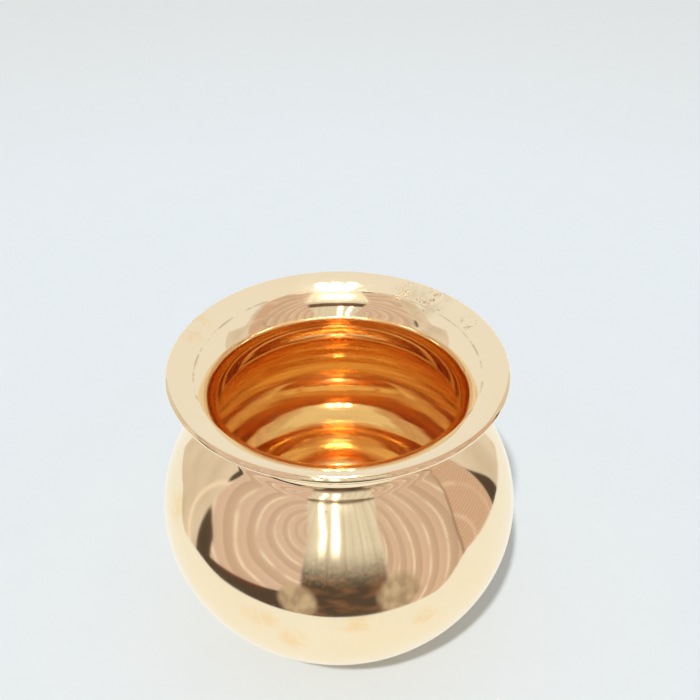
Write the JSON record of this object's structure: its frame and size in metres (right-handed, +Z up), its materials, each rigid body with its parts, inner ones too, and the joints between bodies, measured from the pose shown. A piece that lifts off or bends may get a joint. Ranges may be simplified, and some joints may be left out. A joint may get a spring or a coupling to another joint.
{
  "type": "kalash water pot",
  "caption": "Round-bellied sheet-brass water pot with a short neck and a wide flared mouth ending in a rolled lip.",
  "frame": {"origin": "centre of the flat ring that the pot stands on, on the pot's axis", "axes": "+Z up along the pot's axis; the pot is the same all the way round, so +X and +Y are free"},
  "size_m": [0.108, 0.108, 0.0951],
  "materials": {
    "brass_sheet": "polished by hand, with fine rubbing marks, faint spinning ridges and a little patchy tarnish",
    "lip_wire": "drawn iron wire, dull",
    "braze": "ground flush with the sheet and polished"
  },
  "bodies": {
    "root": {"lower_bowl": "brass_sheet", "shoulder": "brass_sheet", "mouth": "brass_sheet", "lip_wire": "lip_wire", "belly_braze": "braze", "neck_braze": "braze"}
  },
  "joints": []
}
